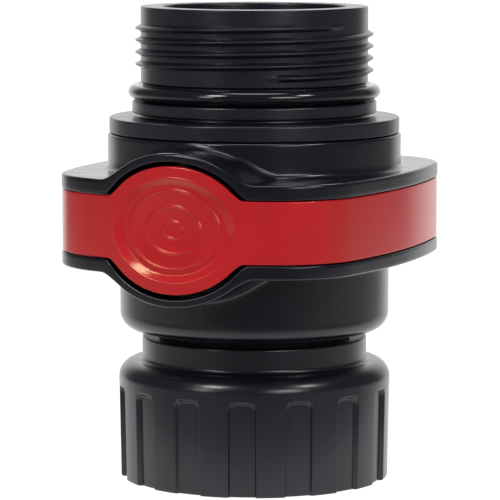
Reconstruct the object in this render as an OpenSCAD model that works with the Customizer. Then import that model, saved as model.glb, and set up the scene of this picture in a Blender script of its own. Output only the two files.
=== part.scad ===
// In-line shut-off valve with a squeeze-release ring and a union nut.
// Origin: centre of the union nut's bottom face. +Z runs along the flow axis, up to the thread.
// The two press pads face -Y (front) and +Y (back). Millimetres.

/* [Union nut] */
// Outer radius of the nut
nut_r = 34.2; // [33.5:0.1:36]
// Height of the nut with its neck
nut_h = 35.8; // [35.5:0.1:36.6]
// Radius of the nut's neck
nut_neck_r = 28.3; // [27:0.1:29]
// Number of recessed flutes
flutes = 15; // [9:1:18]
// Width of one flute
flute_w = 7.1; // [5:0.1:8]
// Depth of one flute
flute_depth = 0.9; // [0.4:0.1:1.2]

/* [Housing] */
// Radius of the lower cylinder
lower_r = 33.85; // [33.5:0.05:35]
// Radius of the upper cylinder
upper_r = 36.75; // [36:0.05:38]
// Height of the housing's top face
housing_top = 87; // [86:0.1:87]
// Half length of the oval rims, along the pads
rim_a = 48.85; // [48.5:0.05:49.5]
// Half width of the oval rims
rim_b = 41.25; // [41:0.05:42]
// Radius of the oval's ends, across the pads
end_r = 74.5; // [70:0.1:80]
// Radius of the oval's long sides
side_r = 147.8; // [130:0.1:160]
// Radius of the oval's corners
corner_r = 22; // [18:0.1:24]
// How far the oval's centre lies from the axis, towards the front pad
oval_shift = 0.8; // [0:0.1:0.8]
// Thickness of the upper rim
upper_rim_t = 3.6; // [3:0.05:4.5]
// Thickness of the lower rim
lower_rim_t = 3.4; // [2.5:0.05:4]

/* [Squeeze ring] */
// Height of the ring's centre plane
ring_z = 66.9; // [66.5:0.05:67]
// Height of the band
band_h = 15.1; // [14:0.1:15.5]
// Wall of the ring
ring_t = 3.5; // [3:0.1:4]
// Half width of a press pad
pad_rx = 19; // [18:0.1:19.5]
// Half height of a press pad
pad_rz = 15.4; // [14.5:0.1:15.6]
// Gap round a press pad
pad_gap = 1.1; // [0.8:0.1:1.3]
// Wall of the hood round a press pad
hood_t = 2.05; // [1.8:0.05:2.2]

/* [Threaded adapter] */
// Root radius of the male thread
thread_root_r = 28.44; // [28.3:0.02:28.6]
// Crest radius of the male thread
thread_crest_r = 29.8; // [29.6:0.02:30]
// Pitch of the thread
thread_pitch = 3; // [2:0.5:3]
// Number of thread ridges
thread_turns = 4; // [3:1:4]
// Radius of the adapter's bore
bore_r = 23; // [22:0.1:23.5]
// Height of the whole valve
total_h = 118.5; // [118:0.1:121]

/* [Hidden] */
$fn = 96;
band_low = ring_z - band_h / 2;
band_top = ring_z + band_h / 2;
rim_gap = 0.25;
lower_rim_top = band_low - rim_gap;
lower_rim_low = lower_rim_top - lower_rim_t;
upper_rim_low = band_top + rim_gap;
upper_rim_top = upper_rim_low + upper_rim_t;

// Lower housing and what it holds
lower_low = nut_h + 1.7;
lower_foot_r = 4.3;
chamber_r = 28.5;
chamber_low = 42;
seat_low = 54;
seat_h = 3;
seat_fit_r = 30.05;
seat_bore_r = 17;
sleeve_r = 33;
socket_r = 27.3;
lip_low = 57.9;
slot_h = 2.7;
clip_h = 2;
gasket_r = 31.6;
gasket_wire_r = 0.75;

// Screws
screw_at = 29;
pillar_r = 3.5;
screw_r = 1.5;
screw_head_r = 2.8;
screw_head_h = 1.3;
screw_len = 12;

// Tail pipe
tail_r = 24;
tail_bore_r = 21;
tail_fit = 0.05;
tail_flange_r = 28.4;
tail_low = 21.5;
tail_flange_h = 3;
tail_ledge_r = 19.5;
tail_ledge_h = 2.5;
tail_seal_z = 39.2;
tail_seal_r = 0.7;

// Nut inside
nut_shoulder_z = tail_low + tail_flange_h + 0.2;
nut_thread_root_r = 30.1;
nut_thread_crest_r = 28.7;
nut_mouth_r = 31;
nut_mouth_h = 3;
nut_thread_top = 16.5;
nut_corner_z = 29.6;
nut_corner_r = 4.2;
nut_neck_bore_r = tail_r + 0.3;

// Poppet and stem guide
stem_r = 2.5;
stem_low = 22.5;
poppet_low = 43.5;
poppet_r = 18.5;
poppet_top = 46;
push_z = 59.95;
guide_low = tail_low + tail_ledge_h;
guide_h = 4;
hub_r = 5;
hub_h = 10;
spring_r = 7.5;
spring_wire_r = 0.8;
spring_turns = 5;

// Adapter
spigot_r = 27;
spigot_low = 59;
lock_floor_r = 25.4;
seal_floor_r = 25.2;
seal_heights = [75, 81];
seal_r = 0.85;
disc_r = 36.35;
disc_low = 87.2;
disc_top = 90.95;
disc_face_r = 30.9;
undercut_r = 29;
collar_r = 30.6;
collar_low = 92;
collar_top = 95;
top_seal_z = 97.3;
top_seal_r = 1.8;
first_ridge_z = 103.2;
step_z = 66;
spigot_bore_r = bore_r - 0.4;

// Lock spring
clip_t = 1.6;
clip_in_r = 26.7;
clip_out_r = 35.5;

// Press pads
split_x = 22;
split_gap = 0.15;
tongue_w = 16;
tongue_tip = 36.6;
lip_w = 25;
lip_back = 40.4;
web_len = 3.4;
pocket_back = 37.5;
dish_rx = 16.1;
dish_rz = 12.6;
dish_depth = 1.1;
ridges = [[12.6, 9.6], [7.7, 6.1], [3.1, 2.6]];
web_x = 18.5;
web_w = 2;
lip_t = 1.5;

// Centres of the arcs that make one quarter of the oval
end_c = [0, rim_a - end_r];
side_c = [rim_b - side_r, 0];
span = norm(side_c - end_c);
unit = (side_c - end_c) / span;
along = (pow(end_r - corner_r, 2) - pow(side_r - corner_r, 2) + span * span) / (2 * span);
away = sqrt(pow(end_r - corner_r, 2) - along * along);
corner_c = end_c + unit * along + [unit[1], -unit[0]] * away;
end_turn = atan2(corner_c[1] - end_c[1], corner_c[0] - end_c[0]);
side_turn = atan2(corner_c[1] - side_c[1], corner_c[0] - side_c[0]);

function arc(c, r, a0, a1, steps) = [
    for (i = [0 : steps - 1])
        let (a = a0 + (a1 - a0) * i / steps) [c[0] + r * cos(a), c[1] + r * sin(a)]
];

// One quarter of the oval, its outline moved in by shrink
function oval_quarter(shrink) = concat(
    arc(side_c, side_r - shrink, 0, side_turn, 8),
    arc(corner_c, corner_r - shrink, side_turn, end_turn, 8),
    arc(end_c, end_r - shrink, end_turn, 90, 10),
    [[0, rim_a - shrink]]
);

// The oval: ends and long sides are big arcs, corners are small ones. It is moved along Y by shift
function oval(shrink = 0, shift = -oval_shift) =
    let (q = oval_quarter(shrink), n = len(q), whole = concat(
            q,
            [for (i = [n - 2 : -1 : 0]) [-q[i][0], q[i][1]]],
            [for (i = [1 : n - 1]) [-q[i][0], -q[i][1]]],
            [for (i = [n - 2 : -1 : 1]) [q[i][0], -q[i][1]]]))
        [for (point = whole) [point[0], point[1] + shift]];

// An ellipse standing in the XZ plane, centred on the ring
function pad_outline(rx, rz, steps = 72) = [
    for (i = [0 : steps - 1]) [rx * cos(360 * i / steps), ring_z + rz * sin(360 * i / steps)]
];

// Points of a quarter round from angle a0 to a1 about a centre
function round_points(cx, cz, r, a0, a1, steps = 8) = [
    for (i = [0 : steps]) let (a = a0 + (a1 - a0) * i / steps) [cx + r * cos(a), cz + r * sin(a)]
];

// Radius of the lock spring at an angle from the X axis
function clip_radius(angle) =
    let (from_x = abs(asin(sin(angle))), t = min(1, max(0, (from_x - 40) / 25)))
        clip_in_r + (clip_out_r - clip_in_r) * t * t * (3 - 2 * t);

function clip_outline(offset_r, steps = 120) = [
    for (i = [0 : steps - 1])
        let (angle = 360 * i / steps, r = clip_radius(angle) + offset_r)
            [r * cos(angle), r * sin(angle)]
];

// Upright prism between two heights
module rise(z0, z1) {
    translate([0, 0, z0])
        linear_extrude(z1 - z0)
            children();
}

// Prism along Y between two places, from an outline drawn in X and Z
module reach(y0, y1) {
    translate([0, y1, 0])
        rotate([90, 0, 0])
            linear_extrude(y1 - y0)
                children();
}

module tube(r_out, r_in, z0, z1) {
    translate([0, 0, z0])
        difference() {
            cylinder(r = r_out, h = z1 - z0);
            translate([0, 0, -1])
                cylinder(r = r_in, h = z1 - z0 + 2);
        }
}

module ring_seal(r, wire_r, z) {
    translate([0, 0, z])
        rotate_extrude()
            translate([r, 0])
                circle(r = wire_r, $fn = 32);
}

module at_screws() {
    for (x = [-screw_at, screw_at], y = [-screw_at, screw_at])
        translate([x, y, 0])
            children();
}

// Same shape at the front and, turned, at the back
module front_and_back() {
    children();
    rotate([0, 0, 180])
        children();
}

// Hood walls round both pads, between two heights
module hoods(z0, z1) {
    intersection() {
        rise(z0, z1)
            polygon(oval());
        front_and_back()
            reach(-rim_a - 3, -28.5)
                polygon(pad_outline(pad_rx + pad_gap + hood_t, pad_rz + pad_gap + hood_t));
    }
}

// Room in which one pad travels
module pad_pocket() {
    reach(-rim_a - 3, -pocket_back)
        polygon(pad_outline(pad_rx + pad_gap, pad_rz + pad_gap));
}

// Layer of the ring between two depths behind the oval, as high as the pads
module layer(outer, inner, shift) {
    difference() {
        rise(ring_z - pad_rz - 1, ring_z + pad_rz + 1)
            polygon(oval(outer, shift));
        rise(ring_z - pad_rz - 2, ring_z + pad_rz + 2)
            polygon(oval(inner, shift));
    }
}

// The whole red ring's wall: band and pads
module ring_wall(shift) {
    intersection() {
        layer(0, ring_t, shift);
        union() {
            rise(band_low, band_top)
                square([4 * rim_a, 4 * rim_a], center = true);
            reach(-rim_a - 3, rim_a + 3)
                polygon(pad_outline(pad_rx, pad_rz));
        }
    }
}

// One pad, at the front of an oval that is moved along Y by shift
module press_pad(shift) {
    face = rim_a - shift;
    lip = lip_back - shift;
    intersection() {
        ring_wall(shift);
        translate([-split_x + split_gap, -rim_a - 3, ring_z - pad_rz - 1])
            cube([2 * (split_x - split_gap), rim_a, 2 * pad_rz + 2]);
    }
    // tongue that bears on the lock spring
    translate([-tongue_w / 2, -face + ring_t - 0.5, ring_z - 2.75])
        cube([tongue_w, face - ring_t + 0.5 - tongue_tip, 5.5]);
    // lips that stop the pad behind the side bands, on two webs
    translate([-lip_w, -lip, band_low + 1])
        cube([2 * lip_w, lip_t, band_h - 2]);
    for (x = [-web_x - web_w, web_x])
        translate([x, -lip - web_len, band_low + 1])
            cube([web_w, web_len + 0.5, band_h - 2]);
}

module dished_pad(shift) {
    difference() {
        press_pad(shift);
        intersection() {
            layer(-1, dish_depth, shift);
            reach(-rim_a - 4, 0)
                polygon(pad_outline(dish_rx, dish_rz));
        }
    }
    for (r = ridges)
        intersection() {
            layer(dish_depth - 0.3, dish_depth + 0.2, shift);
            difference() {
                reach(-rim_a - 4, 0)
                    polygon(pad_outline(r[0], r[1]));
                reach(-rim_a - 5, 1)
                    polygon(pad_outline(r[0] - 0.9, r[1] - 0.9));
            }
        }
}

module press_pad_front() {
    color("crimson")
        dished_pad(-oval_shift);
}

module press_pad_back() {
    color("crimson")
        rotate([0, 0, 180])
            dished_pad(oval_shift);
}

module side_band(shift) {
    intersection() {
        ring_wall(shift);
        translate([split_x + split_gap, -rim_a - 1, band_low - 1])
            cube([rim_b, 2 * rim_a + 2, band_h + 2]);
    }
    // rib that holds the band off the sleeve
    translate([sleeve_r + 0.05, -3, band_low + 1])
        cube([rim_b - ring_t + 0.5 - sleeve_r, 6, band_h - 2]);
}

module ring_band_right() {
    color("red")
        side_band(-oval_shift);
}

module ring_band_left() {
    color("red")
        rotate([0, 0, 180])
            side_band(oval_shift);
}

module lower_housing() {
    color("dimgray")
        difference() {
            union() {
                rotate_extrude()
                    polygon(concat(
                        [[20, lower_low], [lower_r - lower_foot_r, lower_low]],
                        round_points(lower_r - lower_foot_r, lower_low + lower_foot_r,
                            lower_foot_r, -90, 0),
                        [[lower_r, lower_rim_top], [20, lower_rim_top]]));
                rise(lower_rim_low, lower_rim_top)
                    polygon(oval());
                hoods(ring_z - pad_rz - pad_gap - hood_t - 1, lower_rim_top);
            }
            translate([0, 0, lower_low - 1])
                cylinder(r = tail_r + tail_fit, h = 20);
            translate([0, 0, chamber_low])
                cylinder(r = chamber_r, h = 30);
            translate([0, 0, seat_low])
                cylinder(r = seat_fit_r, h = 30);
            tube(gasket_r + 0.8, gasket_r - 0.8, lower_rim_top - 1.5, lower_rim_top + 1);
            front_and_back()
                pad_pocket();
            at_screws() {
                translate([0, 0, lower_rim_low - 1])
                    cylinder(r = screw_r + 0.3, h = lower_rim_t + 2, $fn = 32);
                translate([0, 0, lower_rim_low - 1])
                    cylinder(r = screw_head_r + 0.4, h = screw_head_h + 1.1, $fn = 32);
            }
        }
}

// Wedge-shaped bridges that tie the sleeve together at the pads, above and below the slot
module sleeve_bridges() {
    intersection() {
        tube(sleeve_r + 1, socket_r - 1, ring_z - slot_h, ring_z + slot_h);
        for (side = [-1, 1])
            translate([-12, side * 30 - 8, ring_z - slot_h])
                cube([24, 16, 2 * slot_h]);
    }
}

module upper_housing() {
    color("dimgray")
        difference() {
            union() {
                translate([0, 0, upper_rim_low])
                    cylinder(r = upper_r, h = housing_top - upper_rim_low);
                rise(upper_rim_low, upper_rim_top)
                    polygon(oval());
                translate([0, 0, lower_rim_top])
                    cylinder(r = sleeve_r, h = upper_rim_low - lower_rim_top + 1);
                translate([0, 0, lip_low])
                    cylinder(r = seat_fit_r - 0.1, h = 3);
                hoods(upper_rim_low, housing_top);
                at_screws()
                    translate([0, 0, lower_rim_top])
                        cylinder(r = pillar_r, h = upper_rim_low - lower_rim_top + 1, $fn = 48);
            }
            translate([0, 0, lip_low - 1])
                cylinder(r = socket_r, h = 40);
            difference() {
                tube(sleeve_r + 1, socket_r - 1, ring_z - slot_h / 2, ring_z + slot_h / 2);
                sleeve_bridges();
            }
            front_and_back()
                pad_pocket();
            at_screws()
                translate([0, 0, lower_rim_top - 1])
                    cylinder(r = screw_r + 0.05, h = screw_len + 1, $fn = 32);
        }
}

module housing_gasket() {
    color("black")
        ring_seal(gasket_r, gasket_wire_r, lower_rim_top - gasket_wire_r);
}

module housing_screws() {
    color("silver")
        at_screws()
            difference() {
                translate([0, 0, lower_rim_low]) {
                    cylinder(r = screw_head_r, h = screw_head_h, $fn = 32);
                    cylinder(r = screw_r, h = screw_len, $fn = 32);
                }
                for (turn = [0, 90])
                    rotate([0, 0, turn])
                        translate([-1.6, -0.35, lower_rim_low - 1])
                            cube([3.2, 0.7, 1.8]);
            }
}

module valve_seat() {
    color("ivory")
        rotate_extrude()
            polygon([[seat_bore_r, seat_low + 0.8], [seat_bore_r + 0.4, seat_low],
                [seat_fit_r - 0.05, seat_low], [seat_fit_r - 0.05, seat_low + seat_h],
                [seat_bore_r + 2.4, seat_low + seat_h], [seat_bore_r, seat_low + 1.6]]);
}

module seat_seal() {
    color("black")
        tube(seat_fit_r - 0.2, socket_r, seat_low + seat_h, lip_low);
}

// Ring, three spokes and a hub
module spider(r_out, r_in, z0, ring_h, hub_low, hub_top) {
    tube(r_out, r_in, z0, z0 + ring_h);
    translate([0, 0, hub_low])
        cylinder(r = hub_r, h = hub_top - hub_low);
    for (turn = [90, 210, 330])
        rotate([0, 0, turn])
            translate([hub_r - 1, -1.25, z0])
                cube([r_in - hub_r + 1.5, 2.5, ring_h]);
}

module stem_guide() {
    color("ivory")
        difference() {
            spider(tail_bore_r - 0.05, tail_bore_r - 2.5, guide_low, guide_h,
                guide_low, guide_low + hub_h);
            translate([0, 0, guide_low - 1])
                cylinder(r = stem_r + 0.08, h = hub_h + 2);
        }
}

module pusher_spider() {
    color("dimgray")
        spider(spigot_bore_r - 0.05, spigot_bore_r - 2.5, spigot_low + 1, guide_h,
            spigot_low + 1, spigot_low + 1 + guide_h + 1);
}

module tail_pipe() {
    color("dimgray")
        rotate_extrude()
            polygon([[tail_ledge_r, tail_low], [tail_flange_r, tail_low],
                [tail_flange_r, tail_low + tail_flange_h], [tail_r, tail_low + tail_flange_h],
                [tail_r, tail_seal_z - tail_seal_r - 0.3],
                [tail_r - 1.4, tail_seal_z - tail_seal_r - 0.3],
                [tail_r - 1.4, tail_seal_z + tail_seal_r + 0.3],
                [tail_r, tail_seal_z + tail_seal_r + 0.3],
                [tail_r, chamber_low], [tail_bore_r, chamber_low],
                [tail_bore_r, tail_low + tail_ledge_h], [tail_ledge_r, tail_low + tail_ledge_h]]);
}

module tail_seal() {
    color("black")
        ring_seal(tail_r - tail_seal_r, tail_seal_r, tail_seal_z);
}

module hose_gasket() {
    color("black")
        tube(tail_flange_r, tail_bore_r + 0.5, tail_low - 2.5, tail_low);
}

module lock_spring() {
    color("silver")
        rise(ring_z - clip_h / 2, ring_z + clip_h / 2)
            difference() {
                polygon(clip_outline(clip_t / 2));
                polygon(clip_outline(-clip_t / 2));
            }
}

// Ridge of the male thread, as points that go up the root line
function ridge(z) = [
    [thread_root_r, z - 0.9], [thread_crest_r, z - 0.15],
    [thread_crest_r, z + 0.15], [thread_root_r, z + 0.9]
];

function seal_groove(z) = [
    [spigot_r, z - seal_r - 0.25], [seal_floor_r, z - seal_r - 0.25],
    [seal_floor_r, z + seal_r + 0.25], [spigot_r, z + seal_r + 0.25]
];

module threaded_adapter() {
    color("dimgray")
        rotate_extrude()
            polygon(concat(
                [[bore_r - 1.5, spigot_low], [spigot_r, spigot_low],
                    [spigot_r, ring_z - clip_h / 2 - 0.3], [lock_floor_r, ring_z - clip_h / 2 - 0.3],
                    [lock_floor_r, ring_z + clip_h / 2 + 0.3], [spigot_r, ring_z + clip_h / 2 + 0.3]],
                seal_groove(seal_heights[0]),
                seal_groove(seal_heights[1]),
                [[spigot_r, disc_low], [disc_r, disc_low], [disc_r, disc_top - 0.6],
                    [disc_r - 0.6, disc_top], [disc_face_r, disc_top], [disc_face_r, disc_top - 0.4],
                    [undercut_r, disc_top - 0.4], [undercut_r, collar_low],
                    [collar_r, collar_low], [collar_r, collar_top],
                    [top_seal_floor(), collar_top], [top_seal_floor(), top_seal_z + 2.3],
                    [thread_root_r, top_seal_z + 2.3]],
                [for (k = [0 : thread_turns - 1]) each ridge(first_ridge_z + k * thread_pitch)],
                [[thread_root_r, total_h - 0.4], [thread_root_r - 0.4, total_h],
                    [bore_r + 0.4, total_h], [bore_r, total_h - 0.4],
                    [bore_r, step_z + 0.5], [spigot_bore_r, step_z - 0.5],
                    [spigot_bore_r, spigot_low + 1], [bore_r - 1.5, spigot_low + 1]]));
}

function top_seal_floor() = thread_root_r - 0.55;

module thread_o_ring() {
    color("black")
        ring_seal(top_seal_floor() + top_seal_r, top_seal_r, top_seal_z);
}

module spigot_o_rings() {
    color("black")
        for (z = seal_heights)
            ring_seal(seal_floor_r + seal_r, seal_r, z);
}

module poppet() {
    color("ivory")
        rotate_extrude()
            polygon([[0, stem_low], [stem_r - 0.5, stem_low], [stem_r, stem_low + 0.5],
                [stem_r, poppet_low], [poppet_r, poppet_low], [poppet_r, poppet_top],
                [poppet_r - 2, poppet_top], [poppet_r - 2, poppet_top + 0.6],
                [poppet_r - 4, poppet_top + 1], [5, poppet_top + 4], [3.5, poppet_top + 6],
                [3.5, push_z], [0, push_z]]);
}

module poppet_seal() {
    color("black")
        ring_seal(poppet_r - 1.1, 0.75, poppet_top + 0.75);
}

// Points and faces of a round wire wound along Z
function coil_points(r, wire, height, turns, steps, sides) = [
    for (i = [0 : steps], j = [0 : sides - 1])
        let (a = 360 * turns * i / steps, b = 360 * j / sides,
            rr = r + wire * cos(b), z = wire + (height - 2 * wire) * i / steps + wire * sin(b))
            [rr * cos(a), rr * sin(a), z]
];
function coil_faces(steps, sides) = concat(
    [[for (j = [sides - 1 : -1 : 0]) j]],
    [for (i = [0 : steps - 1], j = [0 : sides - 1])
        [i * sides + j, i * sides + (j + 1) % sides,
            (i + 1) * sides + (j + 1) % sides, (i + 1) * sides + j]],
    [[for (j = [0 : sides - 1]) steps * sides + j]]
);

module poppet_spring() {
    spring_low = guide_low + guide_h;
    color("silver")
        translate([0, 0, spring_low])
            polyhedron(
                coil_points(spring_r, spring_wire_r, poppet_low - spring_low, spring_turns, 120, 10),
                coil_faces(120, 10));
}

// Outside of the nut: tapered grip, rounded shoulder and neck
function nut_profile() = concat(
    [[20, 0], [nut_r - 0.9, 0], [nut_r - 0.4, 0.5]],
    round_points(nut_r - nut_corner_r, nut_corner_z - nut_corner_r, nut_corner_r, 0, 90),
    round_points(nut_neck_r + 1.1, nut_corner_z + 1.1, 1.1, 270, 180),
    [[nut_neck_r, nut_h - 0.3], [nut_neck_r - 0.3, nut_h], [20, nut_h]]
);

module union_nut() {
    color("dimgray")
        difference() {
            rotate_extrude()
                polygon(nut_profile());
            rotate_extrude()
                polygon([[0, -1], [nut_mouth_r, -1], [nut_mouth_r, nut_mouth_h],
                    [nut_thread_crest_r, nut_mouth_h + 1], [nut_thread_crest_r, nut_thread_top],
                    [nut_thread_root_r, nut_thread_top + 1], [nut_thread_root_r, nut_shoulder_z],
                    [nut_neck_bore_r, nut_shoulder_z], [nut_neck_bore_r, nut_h + 1],
                    [0, nut_h + 1]]);
            for (k = [0 : flutes - 1])
                rotate([0, 0, 360 * k / flutes])
                    flute();
        }
}

// One flute: a flat recess with a round top, open at the bottom
module flute() {
    top = 23.5;
    reach(-nut_r - 1, -nut_r + flute_depth)
        union() {
            translate([-flute_w / 2, -1])
                square([flute_w, top - 2 + 1]);
            translate([-flute_w / 2 + 2, top - 3])
                square([flute_w - 4, 3]);
            for (side = [-1, 1])
                translate([side * (flute_w / 2 - 2), top - 2])
                    circle(r = 2, $fn = 32);
        }
}

lower_housing();
upper_housing();
housing_gasket();
housing_screws();
valve_seat();
seat_seal();
stem_guide();
tail_pipe();
tail_seal();
hose_gasket();
lock_spring();
ring_band_left();
ring_band_right();
press_pad_front();
press_pad_back();
threaded_adapter();
thread_o_ring();
spigot_o_rings();
pusher_spider();
poppet();
poppet_seal();
poppet_spring();
union_nut();
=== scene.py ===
"""Looks of the in-line shut-off valve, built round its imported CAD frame.

Shapes are worked out in millimetres and turned into metres where they become a mesh. Lights, stage
and camera are in metres. +Z is the flow axis and the press pads face -Y and +Y. Sizes come from the
CAD nodes' boxes where a node has them, and the rest repeat the CAD's own driving dimensions.
"""

import math

import bmesh
import bpy
import numpy as np
from mathutils import Matrix, Vector


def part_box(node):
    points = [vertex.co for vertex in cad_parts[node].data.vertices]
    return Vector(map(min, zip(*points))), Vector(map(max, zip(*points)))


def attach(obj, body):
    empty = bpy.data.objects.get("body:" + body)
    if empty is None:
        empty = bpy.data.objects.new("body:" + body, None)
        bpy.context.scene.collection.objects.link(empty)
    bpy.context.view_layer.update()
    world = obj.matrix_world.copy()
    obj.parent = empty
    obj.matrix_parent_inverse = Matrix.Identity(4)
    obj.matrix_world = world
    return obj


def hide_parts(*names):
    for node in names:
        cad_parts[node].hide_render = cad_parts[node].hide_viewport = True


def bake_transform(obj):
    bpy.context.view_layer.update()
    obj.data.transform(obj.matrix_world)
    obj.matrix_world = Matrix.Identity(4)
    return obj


MM = 0.001

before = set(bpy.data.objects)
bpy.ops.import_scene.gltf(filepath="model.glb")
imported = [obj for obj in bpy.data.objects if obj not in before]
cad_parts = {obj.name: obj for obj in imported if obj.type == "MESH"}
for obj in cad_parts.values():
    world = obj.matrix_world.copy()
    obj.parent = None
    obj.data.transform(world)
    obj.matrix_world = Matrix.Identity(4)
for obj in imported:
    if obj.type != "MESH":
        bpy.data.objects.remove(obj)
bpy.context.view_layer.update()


# ---------------------------------------------------------------- driving sizes

def box_mm(node):
    """Lower and upper corners of a CAD node's box."""
    low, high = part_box(node)
    return [v / MM for v in low], [v / MM for v in high]


rim_low, rim_high = box_mm("upper_housing")
lower_low, _ = box_mm("lower_housing")
band_low, band_high = box_mm("ring_band_right")
pad_low, pad_high = box_mm("press_pad_front")
screws_low, _ = box_mm("housing_screws")
_, nut_high = box_mm("union_nut")
adapter_low, adapter_high = box_mm("threaded_adapter")

# oval of the rims and the ring
RIM_A = (rim_high[1] - rim_low[1]) / 2       # half length, along the pads
RIM_B = rim_high[0]                          # half width
RIM_Y = (rim_high[1] + rim_low[1]) / 2       # place of its centre
END_R, SIDE_R, CORNER_R = 74.5, 147.8, 22.0  # arcs of its ends, sides and corners

# squeeze ring
BAND_LOW, BAND_TOP = band_low[2], band_high[2]
BAND_HALF = (BAND_TOP - BAND_LOW) / 2
RING_Z = (BAND_LOW + BAND_TOP) / 2
PAD_RZ = (pad_high[2] - pad_low[2]) / 2
PAD_RX = PAD_RZ * 1.234              # the pad is an ellipse, wider than it is high
RING_WALL = 3.5
RING_INSET = 0.12                    # how far the ring's face lies inside the rims' edge

# housing
RIM_GAP = 0.25                       # between a rim and the band
PAD_GAP = 1.1                        # between a hood and the pad
HOOD_WALL = 2.05
UPPER_RIM, LOWER_RIM = 3.6, 3.4      # thickness of each rim
RIM_EDGE = 0.7                       # fillet of a rim's outer edge
INNER_SWEEP, OUTER_SWEEP = 2.4, 3.4  # how softly edges turn from the band up round the pad
UPPER_R, LOWER_R = 36.75, 33.85
HOUSING_TOP, HOUSING_LOW = rim_high[2], lower_low[2]
FOOT = 4.6                           # fillet under the lower housing
SLEEVE_R = 33.0                      # outside of the sleeve behind the ring
SLEEVE_LOW = 59.2
SOCKET_R = 27.3
SEAT_FIT_R, SEAT_LOW = 30.05, 54.0
CHAMBER_R, CHAMBER_LOW = 28.5, 42.0
TAIL_HOLE_R = 24.1
SCREW_AT = 29.0                      # X and Y of each screw
SCREW_HOLE_R = 3.2

# threaded adapter
TOTAL_H = adapter_high[2]
BORE_R = 23.0
THREAD_ROOT, THREAD_CREST, THREAD_PITCH = 28.44, 29.8, 3.0
THREAD_START, THREAD_TURNS = 101.8, 4.19
SPIGOT_R, SPIGOT_LOW = 27.0, adapter_low[2]
SPIGOT_BORE_R, BORE_STEP = 22.6, 66.0        # the bore narrows a little at this height
SPIGOT_LIP_R, SPIGOT_LIP_TOP = 21.5, 60.0
LOCK_GROOVE_R, SEAL_GROOVE_R = 25.4, 25.2
SEAL_GROOVES = (75.0, 81.0)
DISC_R, DISC_LOW, DISC_TOP = 36.35, 87.2, 90.95
COLLAR_R, COLLAR_LOW, COLLAR_TOP = 30.6, 92.0, 95.0
UNDERCUT_R = 28.9                    # between the disc and the collar
SEAL_FLOOR_R, SEAL_TOP = 27.9, 99.4  # groove of the top O-ring
SEAL_Z, SEAL_IN_R, SEAL_WIRE_R = 97.3, 28.0, 1.8

# union nut
NUT_R, NUT_NECK_R, NUT_H = 34.2, 28.3, nut_high[2]
NUT_CORNER_R = 4.2                   # round shoulder over the grip
NUT_CORNER_Z = 29.6
NUT_TAIL_HOLE_R = 24.3
NUT_FLOOR = 24.7                     # top of the threaded hole
NUT_MOUTH_R, NUT_MOUTH_H = 31.0, 3.0
NUT_ROOT, NUT_CREST = 30.1, 28.7
NUT_THREAD_START, NUT_THREAD_TURNS = 4.6, 3.9
FLUTES = 15
FLUTE_HALF_W, FLUTE_TOP, FLUTE_CORNER = 3.55, 23.5, 2.0
FLUTE_DEPTH = 0.95

# camera, in metres and degrees
CAMERA_ROUND = 23.66                 # how far it stands round from the front, towards +X
CAMERA_DISTANCE, CAMERA_HEIGHT = 0.790, 0.150
CAMERA_PITCH, CAMERA_YAW = 6.71, 0.08        # how far it looks down, and aside
camera_side = math.radians(CAMERA_ROUND - 90)   # its direction, as an angle from the X axis


# ---------------------------------------------------------------- profile and mesh helpers

def round_corners(points, steps=5):
    """Outline of points (x, y, corner radius), with each corner turned into a fillet of its radius
    or of what its sides have room for."""
    out = []
    count = len(points)
    for i in range(count):
        x, y, radius = points[i]
        here = np.array([x, y], float)
        before = np.array(points[i - 1][:2], float) - here
        after = np.array(points[(i + 1) % count][:2], float) - here
        if radius <= 0:
            out.append(here)
            continue
        lb, la = np.linalg.norm(before), np.linalg.norm(after)
        ub, ua = before / lb, after / la
        half = math.acos(np.clip(ub @ ua, -1, 1)) / 2
        # a side lends at most half of its length if it has a fillet at its other end too
        shares = [0.49 if points[k % count][2] > 0 else 0.98 for k in (i - 1, i + 1)]
        reach = min(radius / math.tan(half), shares[0] * lb, shares[1] * la)
        radius = reach * math.tan(half)
        middle = here + (ub + ua) / np.linalg.norm(ub + ua) * radius / math.sin(half)
        start, end = here + ub * reach - middle, here + ua * reach - middle
        sweep = math.atan2(start[0] * end[1] - start[1] * end[0], start @ end)
        for k in range(steps + 1):
            a = sweep * k / steps
            c, s = math.cos(a), math.sin(a)
            out.append(middle + np.array([c * start[0] - s * start[1], s * start[0] + c * start[1]]))
    return np.array(out)


def with_supports(outline, inset=0.12, longest=4.0):
    """Splits each straight run near its ends and along its length, so that fillets shade
    crisply."""
    out = []
    count = len(outline)
    for i in range(count):
        a, b = outline[i], outline[(i + 1) % count]
        length = np.linalg.norm(b - a)
        out.append(a)
        if length > 6 * inset:
            stops = [inset / length, 1 - inset / length]
            inner = max(0, int(length / longest))
            stops += [(k + 1) / (inner + 1) for k in range(inner)]
            out += [a + (b - a) * s for s in sorted(stops)]
    return np.array(out)


def place_in_scene(name, data):
    """New object with this name and data, linked to the scene."""
    obj = bpy.data.objects.new(name, data)
    bpy.context.scene.collection.objects.link(obj)
    return obj


def shade(mesh, angle):
    """Smooth shading, with edges sharper than angle (degrees) kept sharp."""
    mesh.shade_smooth()
    mesh.set_sharp_from_angle(angle=math.radians(angle))


def face_outward(mesh):
    bm = bmesh.new()
    bm.from_mesh(mesh)
    bmesh.ops.recalc_face_normals(bm, faces=bm.faces)
    bm.to_mesh(mesh)
    bm.free()


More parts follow.
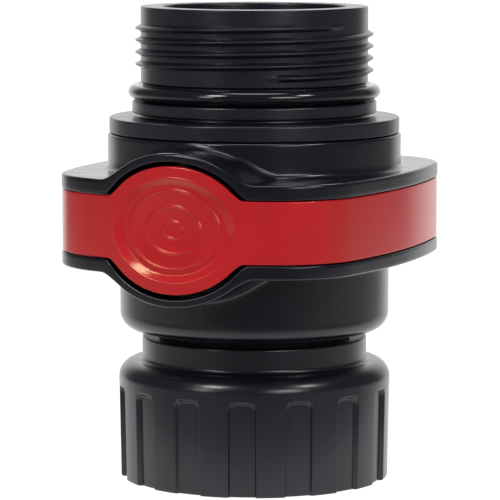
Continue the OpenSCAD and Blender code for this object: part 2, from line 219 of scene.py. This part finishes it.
def section_mesh(name, sections, full_turn=True, sharp=35):
    """Closed mesh over loops of points in millimetres. They close on themselves after a full turn,
    and otherwise the first and the last get a cap."""
    grid = np.array(sections)
    count, size = grid.shape[:2]
    index = np.arange(count * size).reshape(count, size)
    k = np.arange(size)
    n = (k + 1) % size
    faces = []
    for i in range(count if full_turn else count - 1):
        a, b = index[i], index[(i + 1) % count]
        faces.append(np.stack([a[k], b[k], b[n], a[n]], 1))
    polygons = np.concatenate(faces).tolist()
    if not full_turn:
        polygons += [index[0].tolist(), index[-1][::-1].tolist()]
    mesh = bpy.data.meshes.new(name)
    mesh.from_pydata((grid.reshape(-1, 3) * MM).tolist(), [], polygons)
    mesh.validate()
    mesh.update()
    face_outward(mesh)
    shade(mesh, sharp)
    return place_in_scene(name, mesh)


def around(radius_z, theta):
    """Points of one section, (n, 2) radius and height, turned to the angle theta."""
    r, z = radius_z[:, 0], radius_z[:, 1]
    return np.stack([r * math.cos(theta), r * math.sin(theta), z], 1)


def lathe(name, outline, steps=256):
    """Outline of radius and height, turned all the way round the flow axis."""
    angles = np.arange(steps) * 2 * math.pi / steps
    return section_mesh(name, [around(outline, t) for t in angles])


def quarter(centre_r, centre_z, radius, start, end, steps):
    """Arc of radius and height, with start and end in degrees."""
    a = np.radians(np.linspace(start, end, steps + 1))
    return np.stack([centre_r + radius * np.cos(a), centre_z + radius * np.sin(a)], 1)


def smooth_max(a, b, k):
    """Larger of a and b, rounded over where they are less than k apart."""
    h = np.clip(0.5 + 0.5 * (a - b) / k, 0, 1)
    return b + (a - b) * h + k * h * (1 - h)


def smooth_step(t):
    t = np.clip(t, 0, 1)
    return t * t * (3 - 2 * t)


# ---------------------------------------------------------------- the oval and its edges

# centres of the oval's arcs, in the quarter where x and y are positive
end_centre = np.array([0, RIM_A - END_R])
side_centre = np.array([RIM_B - SIDE_R, 0])
between = side_centre - end_centre
span = np.linalg.norm(between)
near_end, near_side = END_R - CORNER_R, SIDE_R - CORNER_R
along_span = (near_end ** 2 - near_side ** 2 + span ** 2) / (2 * span)
off_span = math.sqrt(near_end ** 2 - along_span ** 2)
corner_centre = (end_centre + between / span * along_span
                 + np.array([between[1], -between[0]]) / span * off_span)


def meets(centre, radius, shift):
    """Angle from the X axis, seen from the flow axis, at which an arc runs into the corner's."""
    way = corner_centre - centre
    place = centre + way / np.linalg.norm(way) * radius
    return math.atan2(place[1] + shift, place[0])


def oval_radius(theta):
    """How far from the flow axis the oval lies at an angle from the X axis."""
    c, s = abs(math.cos(theta)), abs(math.sin(theta))
    shift = RIM_Y if math.sin(theta) > 0 else -RIM_Y
    turn = math.atan2(s, c)
    if turn < meets(side_centre, SIDE_R, shift):
        centre, radius = side_centre, SIDE_R
    elif turn > meets(end_centre, END_R, shift):
        centre, radius = end_centre, END_R
    else:
        centre, radius = corner_centre, CORNER_R
    along = c * centre[0] + s * (centre[1] + shift)
    across = c * (centre[1] + shift) - s * centre[0]
    return along + math.sqrt(radius ** 2 - across ** 2)


def arch(x, rx, rz):
    """Height of an ellipse at x over the ring's centre plane, carried on as a slope near its end."""
    last = 0.97
    t = np.minimum(np.abs(x) / rx, last)
    height = rz * np.sqrt(1 - t * t)
    slope = rz * last / rx / math.sqrt(1 - last ** 2)
    return height - np.maximum(np.abs(x) - last * rx, 0) * slope


def rim_line(x, over_band, past_pad, sweep):
    """Height over the centre plane of an edge that follows the band and arches over the pad."""
    return smooth_max(arch(x, PAD_RX + past_pad, PAD_RZ + past_pad), over_band + 0 * x, sweep)


def groove_edge(x):
    return rim_line(x, BAND_HALF + RIM_GAP, PAD_GAP, INNER_SWEEP)


def rim_outside(x, rim):
    return rim_line(x, BAND_HALF + RIM_GAP + rim, PAD_GAP + HOOD_WALL, OUTER_SWEEP)


def ring_edge(x):
    return rim_line(x, BAND_HALF, 0.0, INNER_SWEEP)


# ---------------------------------------------------------------- housing halves

def rim_section(theta, wall_r, far_side, rim):
    """Wing of the rim at one angle, from the cylinder wall out round the edge and back inside.
    Heights are over the centre plane; far_side is the wall's own end."""
    c = math.cos(theta)
    rho = oval_radius(theta)
    blend = 1.3
    inner_edge = 0.4
    groove_floor = SLEEVE_R + 0.6

    foot = rim_outside(wall_r * c, rim) + blend
    wall = np.array([[wall_r, far_side + (foot - far_side) * k / 6] for k in range(6)])

    fillet = quarter(wall_r + blend, blend, blend, 180, 270, 5)
    fillet[:, 1] += rim_outside(fillet[:, 0] * c, rim)

    across = np.linspace(wall_r + blend, rho - RIM_EDGE, 20)[1:-1]
    outside = np.stack([across, rim_outside(across * c, rim)], 1)

    outer = quarter(rho - RIM_EDGE, -RIM_EDGE, RIM_EDGE, 90, 0, 7)
    outer[:, 1] += rim_outside(outer[:, 0] * c, rim)

    top = outer[-1, 1]
    low = groove_edge((rho - inner_edge) * c) + inner_edge
    edge = np.array([[rho, top + (low - top) * k / 4] for k in range(1, 4)])

    lip = quarter(rho - inner_edge, inner_edge, inner_edge, 0, -90, 4)
    lip[:, 1] += groove_edge(lip[:, 0] * c)

    across = np.linspace(rho - inner_edge, groove_floor, 14)[1:]
    inside = np.stack([across, groove_edge(across * c)], 1)
    return np.concatenate([wall, fillet, outside, outer, edge, lip, inside])


def housing_half(name, up, wall_r, far_side, rim, closing, steps=720):
    """One half of the housing. up is 1 for the upper half and -1 for the lower, and closing gives
    the rest of its section, from inside the groove back to the far side, in real heights."""
    sections = []
    for i in range(steps):
        theta = 2 * math.pi * i / steps
        wing = rim_section(theta, wall_r, far_side, rim)
        wing[:, 1] = RING_Z + up * wing[:, 1]
        sections.append(around(np.concatenate([wing, closing]), theta))
    return section_mesh(name, sections, sharp=40)


upper_closing = np.array([
    [SLEEVE_R + 0.2, BAND_TOP + 0.4], [SLEEVE_R, BAND_TOP], [SLEEVE_R, SLEEVE_LOW + 0.8],
    [SLEEVE_R - 0.2, SLEEVE_LOW], [SOCKET_R + 0.2, SLEEVE_LOW], [SOCKET_R, SLEEVE_LOW + 0.4],
    [SOCKET_R, HOUSING_TOP - 1.2], [SOCKET_R + 0.4, HOUSING_TOP - 0.3], [SOCKET_R + 0.9, HOUSING_TOP],
    [UPPER_R - 4, HOUSING_TOP], [UPPER_R - 0.9, HOUSING_TOP], [UPPER_R - 0.6, HOUSING_TOP - 0.04],
    [UPPER_R - 0.3, HOUSING_TOP - 0.15], [UPPER_R - 0.08, HOUSING_TOP - 0.36],
    [UPPER_R - 0.01, HOUSING_TOP - 0.6]])
upper_shell = housing_half("upper_shell", 1, UPPER_R, HOUSING_TOP - 0.8 - RING_Z, UPPER_RIM,
                           upper_closing)

lower_closing = np.concatenate([
    np.array([[SLEEVE_R + 0.2, BAND_LOW - 0.3], [SLEEVE_R - 1, BAND_LOW - 0.3],
              [SEAT_FIT_R, BAND_LOW - 0.4], [SEAT_FIT_R, SEAT_LOW], [CHAMBER_R, SEAT_LOW],
              [CHAMBER_R, CHAMBER_LOW], [TAIL_HOLE_R, CHAMBER_LOW], [TAIL_HOLE_R, HOUSING_LOW + 0.4],
              [TAIL_HOLE_R + 0.4, HOUSING_LOW], [TAIL_HOLE_R + 2.9, HOUSING_LOW]]),
    quarter(LOWER_R - FOOT, HOUSING_LOW + FOOT, FOOT, -90, -6, 9)])
lower_shell = housing_half("lower_shell", -1, LOWER_R, RING_Z - HOUSING_LOW - FOOT, LOWER_RIM,
                           lower_closing)


def cylinder(name, x, y, radius, low, high):
    bm = bmesh.new()
    bmesh.ops.create_cone(
        bm, cap_ends=True, segments=48, radius1=radius * MM, radius2=radius * MM,
        depth=(high - low) * MM, matrix=Matrix.Translation(Vector((x, y, (low + high) / 2)) * MM))
    mesh = bpy.data.meshes.new(name)
    bm.to_mesh(mesh)
    bm.free()
    return place_in_scene(name, mesh)


def drill(obj, places, radius, low, high):
    """Cuts round holes along Z out of an object."""
    cutters = [cylinder("cutter", x, y, radius, low, high) for x, y in places]
    for cutter in cutters:
        cut = obj.modifiers.new("cut", "BOOLEAN")
        cut.object = cutter
        cut.solver = "EXACT"
    graph = bpy.context.evaluated_depsgraph_get()
    obj.data = bpy.data.meshes.new_from_object(obj.evaluated_get(graph))
    obj.modifiers.clear()
    for cutter in cutters:
        bpy.data.objects.remove(cutter)
    shade(obj.data, 40)


screw_places = [(x, y) for x in (-SCREW_AT, SCREW_AT) for y in (-SCREW_AT, SCREW_AT)]
drill(lower_shell, screw_places, SCREW_HOLE_R, screws_low[2] - 2, screws_low[2] + 1.4)


# ---------------------------------------------------------------- squeeze ring

DISH_RX, DISH_RZ = 0.845 * PAD_RX, 0.82 * PAD_RZ
DISH_RIM, FLANK = 0.985, 0.125       # as shares of the dish: where its flank starts, and how wide
FLANK_DEPTH, MIDDLE_DEPTH = 1.05, 0.55
RIDGES = ((0.995, 0.08), (0.755, 0.34), (0.455, 0.32), (0.165, 0.28))   # place and height of each
RIDGE_HALF_W = 0.017


def dish(x, z):
    """Depth of the pad's face behind the oval, for places x across and z over the centre: a steep
    flank, a bowl inside it, and raised rings."""
    q = np.hypot(x / DISH_RX, z / DISH_RZ)
    fall = (DISH_RIM - q) / FLANK
    flank = smooth_max(fall, 0 * fall, 0.14) - smooth_max(fall - 1, 0 * fall, 0.14)
    bowl = smooth_step((0.92 - q) / 0.9)
    ridges = sum(height * np.exp(-((q - at) / RIDGE_HALF_W) ** 2) for at, height in RIDGES)
    return FLANK_DEPTH * flank + MIDDLE_DEPTH * bowl - ridges


def ring_half(name, side):
    """Half of the ring, round one pad, from side to side. side is -1 for the front and 1 for the
    back. Sections lie closest together over the pad's dish."""
    edge, inner_edge = 0.35, 0.2
    # shares of a quarter turn away from the pad's axis
    wing = np.concatenate([np.linspace(0.272, 0.40, 30), np.linspace(0.403, 0.60, 70),
                           np.linspace(0.61, 0.999999, 40)])
    shares = np.concatenate([-wing[::-1], np.linspace(-0.27, 0.27, 321), wing])
    rows = np.linspace(-1, 1, 190)
    sections = []
    for phi in shares * math.pi / 2:
        theta = side * (math.pi / 2 - phi)
        rho = oval_radius(theta) - RING_INSET
        x = rho * math.cos(theta)
        half = float(ring_edge(np.array(x)))
        z = rows * (half - edge)
        depth = dish(x, z) * (abs(phi) < 1.0)
        face = np.stack([rho - depth, z], 1)
        top = quarter(rho - edge, half - edge, edge, 0, 90, 5)[1:]
        low = quarter(rho - edge, edge - half, edge, -90, 0, 5)[:-1]
        r_in = rho - RING_WALL
        back = np.array([[r_in + inner_edge, half], [r_in, half - inner_edge], [r_in, 0],
                         [r_in, inner_edge - half], [r_in + inner_edge, -half]])
        loop = np.concatenate([low, face, top, back])
        loop[:, 1] += RING_Z
        sections.append(around(loop, theta))
    return section_mesh(name, sections, full_turn=False, sharp=50)


ring_front = ring_half("ring_front", -1)
ring_back = ring_half("ring_back", 1)


# ---------------------------------------------------------------- threaded adapter

def groove(z, half_height, floor):
    """Corners of a groove round the spigot."""
    return [(SPIGOT_R, z - half_height, 0.15), (floor, z - half_height, 0.15),
            (floor, z + half_height, 0.15), (SPIGOT_R, z + half_height, 0.15)]


seal_grooves = [corner for z in SEAL_GROOVES for corner in groove(z, 1.1, SEAL_GROOVE_R)]
adapter_outline = with_supports(round_corners(
    [(SPIGOT_LIP_R, SPIGOT_LOW, 0.3), (SPIGOT_R, SPIGOT_LOW, 0.5)]
    + groove(RING_Z, 1.3, LOCK_GROOVE_R) + seal_grooves
    + [(SPIGOT_R, DISC_LOW, 0.3), (DISC_R, DISC_LOW, 0.25), (DISC_R, DISC_TOP, 0.4),
       (UNDERCUT_R, DISC_TOP, 0.5), (UNDERCUT_R, COLLAR_LOW, 0.3), (COLLAR_R, COLLAR_LOW, 0.35),
       (COLLAR_R, COLLAR_TOP, 0.45), (SEAL_FLOOR_R, COLLAR_TOP, 0.3), (SEAL_FLOOR_R, SEAL_TOP, 0.3),
       (THREAD_ROOT, SEAL_TOP + 0.3, 0.2), (THREAD_ROOT, TOTAL_H, 0.25), (BORE_R, TOTAL_H, 0.6),
       (BORE_R, BORE_STEP + 0.5, 1.0), (SPIGOT_BORE_R, BORE_STEP - 0.5, 1.0),
       (SPIGOT_BORE_R, SPIGOT_LIP_TOP, 0.3), (SPIGOT_LIP_R, SPIGOT_LIP_TOP, 0.2)]))
adapter_body = lathe("adapter_body", adapter_outline, steps=288)


def thread_ridge(name, wall, crest, start_z, turns, start_at, steps_per_turn=180):
    """Helical ridge, sunk a little into its wall, that grows out of it and sinks back at its
    ends."""
    grow_turns, fade_turns = 0.09, 0.18
    half_foot, half_crest = 1.0, 0.16
    total = int(turns * steps_per_turn)
    out = 1 if crest > wall else -1
    root, sunk, foot = wall - 0.25 * out, wall - 0.2 * out, wall - 0.02 * out
    sections = []
    for i in range(total + 1):
        theta = start_at + 2 * math.pi * i / steps_per_turn
        z = start_z + THREAD_PITCH * i / steps_per_turn
        grow = smooth_step(min(i / grow_turns, (total - i) / fade_turns) / steps_per_turn)
        tip = sunk + (crest - sunk) * float(grow)
        loop = round_corners([
            (root, z - half_foot - 0.02, 0.0), (foot, z - half_foot + 0.02, 0.0),
            (tip, z - half_crest, 0.12), (tip, z + half_crest, 0.12),
            (foot, z + half_foot - 0.02, 0.0), (root, z + half_foot + 0.02, 0.0)], steps=3)
        sections.append(around(loop, theta))
    return section_mesh(name, sections, full_turn=False, sharp=50)


thread = thread_ridge("adapter_thread", THREAD_ROOT, THREAD_CREST, THREAD_START, THREAD_TURNS,
                      camera_side - math.radians(1))
seal = lathe("thread_seal", quarter(SEAL_IN_R + SEAL_WIRE_R, SEAL_Z, SEAL_WIRE_R, 0, 345, 23))


# ---------------------------------------------------------------- union nut

shoulder = quarter(NUT_R - NUT_CORNER_R, NUT_CORNER_Z - NUT_CORNER_R, NUT_CORNER_R, 0, 90, 12)
nut_outline = round_corners(
    [(NUT_R - 0.45, 0.0, 0.5)] + [(r, z, 0.0) for r, z in shoulder]
    + [(NUT_NECK_R, NUT_CORNER_Z, 1.1), (NUT_NECK_R, NUT_H, 0.5), (NUT_TAIL_HOLE_R, NUT_H, 0.4),
       (NUT_TAIL_HOLE_R, NUT_FLOOR, 0.2), (NUT_ROOT, NUT_FLOOR, 0.4), (NUT_ROOT, NUT_MOUTH_H + 1, 0.4),
       (NUT_MOUTH_R, NUT_MOUTH_H, 0.4), (NUT_MOUTH_R, 0.0, 0.4)], steps=7)


def with_grip_rows(outline):
    """Adds rows to the nut's grip, the most where the flutes have their round tops."""
    fine_from, grip_top = 19.5, 26.5
    out = []
    for a, b in zip(outline, np.roll(outline, -1, axis=0)):
        out.append(a)
        highest = max(a[1], b[1])
        if min(a[0], b[0]) > NUT_R - 0.6 and highest < grip_top:
            pitch = 0.3 if highest > fine_from else 1.0
            inner = int(np.linalg.norm(b - a) / pitch)
            out += [a + (b - a) * (k + 1) / (inner + 1) for k in range(inner)]
    return np.array(out)


def inside_flute(along, z):
    """How far inside a flute's outline a place is: along is millimetres round from its middle."""
    qx = np.abs(along) - (FLUTE_HALF_W - FLUTE_CORNER)
    qz = z - (FLUTE_TOP - FLUTE_CORNER)
    outside = np.hypot(np.maximum(qx, 0), np.maximum(qz, 0)) + np.minimum(np.maximum(qx, qz), 0)
    return FLUTE_CORNER - outside


def union_nut():
    """The nut's outline turned round, and pressed in where it crosses a flute. Sections lie closest
    together at the flutes' sides."""
    outline = with_grip_rows(with_supports(nut_outline, longest=3.0))
    grip = (outline[:, 0] > NUT_MOUTH_R) & (outline[:, 1] < 25)
    step = 2 * math.pi / FLUTES
    stops = ((-0.5, 6), (-0.30, 14), (-0.20, 12), (0.20, 14), (0.30, 6), (0.5, 0))
    shares = np.concatenate([np.linspace(a, b, count + 1)[:-1]
                             for (a, count), (b, _) in zip(stops, stops[1:])])
    first = camera_side - math.radians(5.1)
    sections = []
    for k in range(FLUTES):
        for share in shares:
            inside = inside_flute(share * step * NUT_R, outline[:, 1])
            ring = outline.copy()
            ring[:, 0] -= np.where(grip, FLUTE_DEPTH * smooth_step((inside + 0.12) / 0.62), 0)
            sections.append(around(ring, first + step * (k + share)))
    return section_mesh("nut_shell", sections, sharp=50)


nut_shell = union_nut()
nut_thread = thread_ridge("nut_thread", NUT_ROOT, NUT_CREST, NUT_THREAD_START, NUT_THREAD_TURNS,
                          camera_side)


# ---------------------------------------------------------------- materials

def plastic(name, colour, roughness, spread, grain_mm, bump, tint=0.25, shine=(1.0, 1.0, 1.0)):
    """Moulded plastic: faint cloudiness in colour and gloss, and a fine surface grain. spread and
    tint are how far gloss and colour wander, and shine is the colour of a lamp's reflection."""
    mat = bpy.data.materials.new(name)
    mat.use_nodes = True
    nodes, links = mat.node_tree.nodes, mat.node_tree.links
    shader = nodes["Principled BSDF"]
    place = nodes.new("ShaderNodeTexCoord")

    def noise(scale, detail):
        tex = nodes.new("ShaderNodeTexNoise")
        tex.inputs["Scale"].default_value = scale
        tex.inputs["Detail"].default_value = detail
        links.new(place.outputs["Object"], tex.inputs["Vector"])
        return tex

    cloud = noise(60, 3)
    ramp = nodes.new("ShaderNodeValToRGB")
    for stop, position, factor in zip(ramp.color_ramp.elements, (0.3, 0.7), (1 - tint, 1 + tint)):
        stop.position = position
        stop.color = (*[c * factor for c in colour], 1)
    links.new(cloud.outputs["Fac"], ramp.inputs["Fac"])
    links.new(ramp.outputs["Color"], shader.inputs["Base Color"])

    smear = noise(180, 4)
    gloss = nodes.new("ShaderNodeMapRange")
    gloss.inputs["To Min"].default_value = roughness - spread
    gloss.inputs["To Max"].default_value = roughness + spread
    links.new(smear.outputs["Fac"], gloss.inputs["Value"])
    links.new(gloss.outputs["Result"], shader.inputs["Roughness"])

    grain = noise(1 / (grain_mm * MM), 2)
    height = nodes.new("ShaderNodeBump")
    height.inputs["Strength"].default_value = bump
    height.inputs["Distance"].default_value = 0.00005
    links.new(grain.outputs["Fac"], height.inputs["Height"])
    links.new(height.outputs["Normal"], shader.inputs["Normal"])
    shader.inputs["IOR"].default_value = 1.5
    shader.inputs["Specular Tint"].default_value = (*shine, 1)
    return mat


def steel(name):
    mat = plastic(name, (0.55, 0.56, 0.58), 0.28, 0.06, 0.15, 0.3, tint=0.06)
    mat.node_tree.nodes["Principled BSDF"].inputs["Metallic"].default_value = 1.0
    return mat


black = plastic("black_moulded", (0.0026, 0.0032, 0.0080), 0.21, 0.05, 0.35, 0.18)
black_nut = plastic("black_nut", (0.0052, 0.0058, 0.0108), 0.25, 0.04, 0.30, 0.25)
black_adapter = plastic("black_adapter", (0.0075, 0.0085, 0.0150), 0.28, 0.05, 0.30, 0.22)
red = plastic("red_moulded", (0.57, 0.0145, 0.0245), 0.15, 0.02, 0.5, 0.10, tint=0.05,
              shine=(1.0, 0.86, 0.50))
black_inside = plastic("black_inside", (0.0030, 0.0032, 0.0040), 0.60, 0.05, 0.30, 0.2)
ivory = plastic("natural_acetal", (0.62, 0.60, 0.54), 0.35, 0.05, 0.3, 0.2, tint=0.04)
rubber = plastic("seal_rubber", (0.0040, 0.0044, 0.0075), 0.13, 0.03, 0.4, 0.12)
metal = steel("spring_steel")


# ---------------------------------------------------------------- dressing the pieces

def paint(obj, mat):
    obj.data.materials.clear()
    obj.data.materials.append(mat)


def dress(obj, mat):
    paint(obj, mat)


for obj, mat, slot, body, nodes in (
        (upper_shell, black, "black_plastic", "housing", ["upper_housing"]),
        (lower_shell, black, "black_plastic", "housing", ["lower_housing"]),
        (adapter_body, black_adapter, "adapter_plastic", "adapter", ["threaded_adapter"]),
        (thread, black_adapter, "adapter_plastic", "adapter", []),
        (seal, rubber, "rubber", "adapter", ["thread_o_ring"]),
        (nut_shell, black_nut, "nut_plastic", "nut", ["union_nut"]),
        (nut_thread, black_nut, "nut_plastic", "nut", [])):
    dress(obj, mat)
    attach(obj, body)
    if nodes:
        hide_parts(*nodes)

for obj, pad, y in ((ring_front, "front_pad", -1), (ring_back, "back_pad", 1)):
    dress(obj, red)
    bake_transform(obj)
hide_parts("press_pad_front", "ring_band_left")
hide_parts("press_pad_back", "ring_band_right")

finishes = {
    "tail_pipe": black_inside, "valve_seat": ivory, "stem_guide": ivory, "pusher_spider": ivory,
    "poppet": ivory, "housing_gasket": rubber, "seat_seal": rubber, "tail_seal": rubber,
    "hose_gasket": rubber, "spigot_o_rings": rubber, "poppet_seal": rubber,
    "housing_screws": metal, "lock_spring": metal, "poppet_spring": metal}
for node, mat in finishes.items():
    paint(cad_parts[node], mat)


# ---------------------------------------------------------------- stage, light and camera

def facing(azimuth, elevation=0.0):
    """Unit vector out from the axis. azimuth 0 is the camera's own side, positive to its right."""
    a = math.radians(CAMERA_ROUND + azimuth)
    e = math.radians(elevation)
    return np.array([math.sin(a) * math.cos(e), -math.cos(a) * math.cos(e), math.sin(e)])


def aim(obj, place, target):
    obj.location = Vector(place)
    obj.rotation_euler = (Vector(target) - Vector(place)).to_track_quat("-Z", "Y").to_euler()


def softbox(name, azimuth, elevation, distance, width, height, power):
    """Soft round lamp aimed at the valve's middle, with its power in watts."""
    light = bpy.data.lights.new(name, "AREA")
    light.shape = "ELLIPSE"
    light.size, light.size_y = width, height
    light.energy = power
    centre = np.array([0, 0, 0.06])
    aim(place_in_scene(name, light), centre + facing(azimuth, elevation) * distance, centre)


softbox("key_left", -40, 40, 1.2, 0.30, 0.30, 4.2)
softbox("key_right", 53, 40, 1.2, 0.25, 0.25, 2.6)
softbox("fill_left", -44, 17, 1.2, 0.28, 0.34, 1.5)
softbox("fill_right", 28, 17, 1.2, 0.56, 0.34, 3.2)
softbox("top", 0, 82, 1.0, 0.6, 0.4, 2.4)
softbox("rim_light", 180, 50, 1.2, 0.9, 0.35, 8.0)


def vector_math(tree, operation, source, other=(0, 0, 0)):
    """Vector or number that an operation makes of a socket and a fixed vector."""
    node = tree.nodes.new("ShaderNodeVectorMath")
    node.operation = operation
    node.inputs[1].default_value = tuple(other)
    tree.links.new(source, node.inputs[0])
    return node.outputs["Value" if operation in ("DOT_PRODUCT", "LENGTH") else "Vector"]


def number_math(tree, operation, first, second, third=0.0):
    """Number that an operation makes of two sockets and a fixed number."""
    node = tree.nodes.new("ShaderNodeMath")
    node.operation = operation
    node.inputs[2].default_value = third
    tree.links.new(first, node.inputs[0])
    tree.links.new(second, node.inputs[1])
    return node.outputs["Value"]


def eased(tree, source, low, high, at_low, at_high):
    """Number that eases from at_low to at_high as a socket goes from low to high."""
    fade = tree.nodes.new("ShaderNodeMapRange")
    fade.interpolation_type = "SMOOTHSTEP"
    fade.inputs["From Min"].default_value = low
    fade.inputs["From Max"].default_value = high
    fade.inputs["To Min"].default_value = at_low
    fade.inputs["To Max"].default_value = at_high
    tree.links.new(source, fade.inputs["Value"])
    return fade.outputs["Result"]


def along(tree, source, direction, low, high, at_low, at_high):
    """The same, as a place or a direction moves along another direction."""
    part = vector_math(tree, "DOT_PRODUCT", source, direction)
    return eased(tree, part, low, high, at_low, at_high)


def glowing_floor():
    """Table whose glow is painted light: it glows white in a wedge behind the valve, softer at its
    sides, and least on the camera's own side, so that the valve's flanks mirror white only where they
    turn away. Its own colour is a dark grey. Limits are cosines for from_tip, which is a direction,
    and metres for place and from_axis."""
    mat = bpy.data.materials.new("glowing_floor")
    mat.use_nodes = True
    tree = mat.node_tree
    shader = tree.nodes["Principled BSDF"]
    shader.inputs["Base Color"].default_value = (0.10, 0.10, 0.10, 1)
    shader.inputs["Roughness"].default_value = 0.9
    shader.inputs["Specular IOR Level"].default_value = 0.0
    shader.inputs["Emission Color"].default_value = (1, 1, 1, 1)

    place = tree.nodes.new("ShaderNodeTexCoord").outputs["Object"]
    wedge_tip = facing(0) * 0.16
    from_tip = vector_math(tree, "NORMALIZE", vector_math(tree, "SUBTRACT", place, wedge_tip))
    behind = along(tree, from_tip, facing(180), 0.68, 0.90, 0.0, 1.10)
    past_valve = along(tree, place, facing(0), 0.036, 0.13, 1.0, 0.0)
    white = number_math(tree, "MULTIPLY", behind, past_valve)

    beside = along(tree, from_tip, facing(180), -0.85, 0.3, 0.0, 1.0)
    from_axis = vector_math(tree, "LENGTH", place)
    far_fade = eased(tree, from_axis, 0.40, 0.75, 0.52, 0.16)
    near_fade = eased(tree, from_axis, 0.12, 0.32, 0.25, 1.0)
    fade = number_math(tree, "MULTIPLY", far_fade, near_fade)
    pale = number_math(tree, "MULTIPLY_ADD", beside, fade, 0.10)

    # painted glow of the floor, standing in for bounced studio light: the brighter of the wedge and
    # the sides
    glow = number_math(tree, "MAXIMUM", white, pale)
    tree.links.new(glow, shader.inputs["Emission Strength"])
    return mat


def floor(size, z):
    mesh = bpy.data.meshes.new("floor")
    corners = [(-size, -size, z), (size, -size, z), (size, size, z), (-size, size, z)]
    mesh.from_pydata(corners, [], [(0, 1, 2, 3)])
    mesh.materials.append(glowing_floor())
    obj = place_in_scene("floor", mesh)


floor(6, -0.0002)

scene = bpy.context.scene
scene.world = bpy.data.worlds.new("studio")
scene.world.use_nodes = True
sky = scene.world.node_tree
backdrop = sky.nodes["Background"]
backdrop.inputs["Color"].default_value = (1, 1, 1, 1)
sky_way = sky.nodes.new("ShaderNodeTexCoord").outputs["Generated"]
sky.links.new(along(sky, sky_way, facing(178), 0.66, 0.92, 0.16, 1.25), backdrop.inputs["Strength"])

scene.camera = place_in_scene("camera", bpy.data.cameras.new("camera"))
scene.camera.data.lens = 227.2
scene.camera.data.sensor_width = 36
scene.camera.data.clip_start = 0.05
stand = facing(0) * CAMERA_DISTANCE + np.array([0, 0, CAMERA_HEIGHT])
aim(scene.camera, stand, stand + facing(180 + CAMERA_YAW, -CAMERA_PITCH))

scene.view_settings.view_transform = "Standard"
scene.view_settings.look = "None"
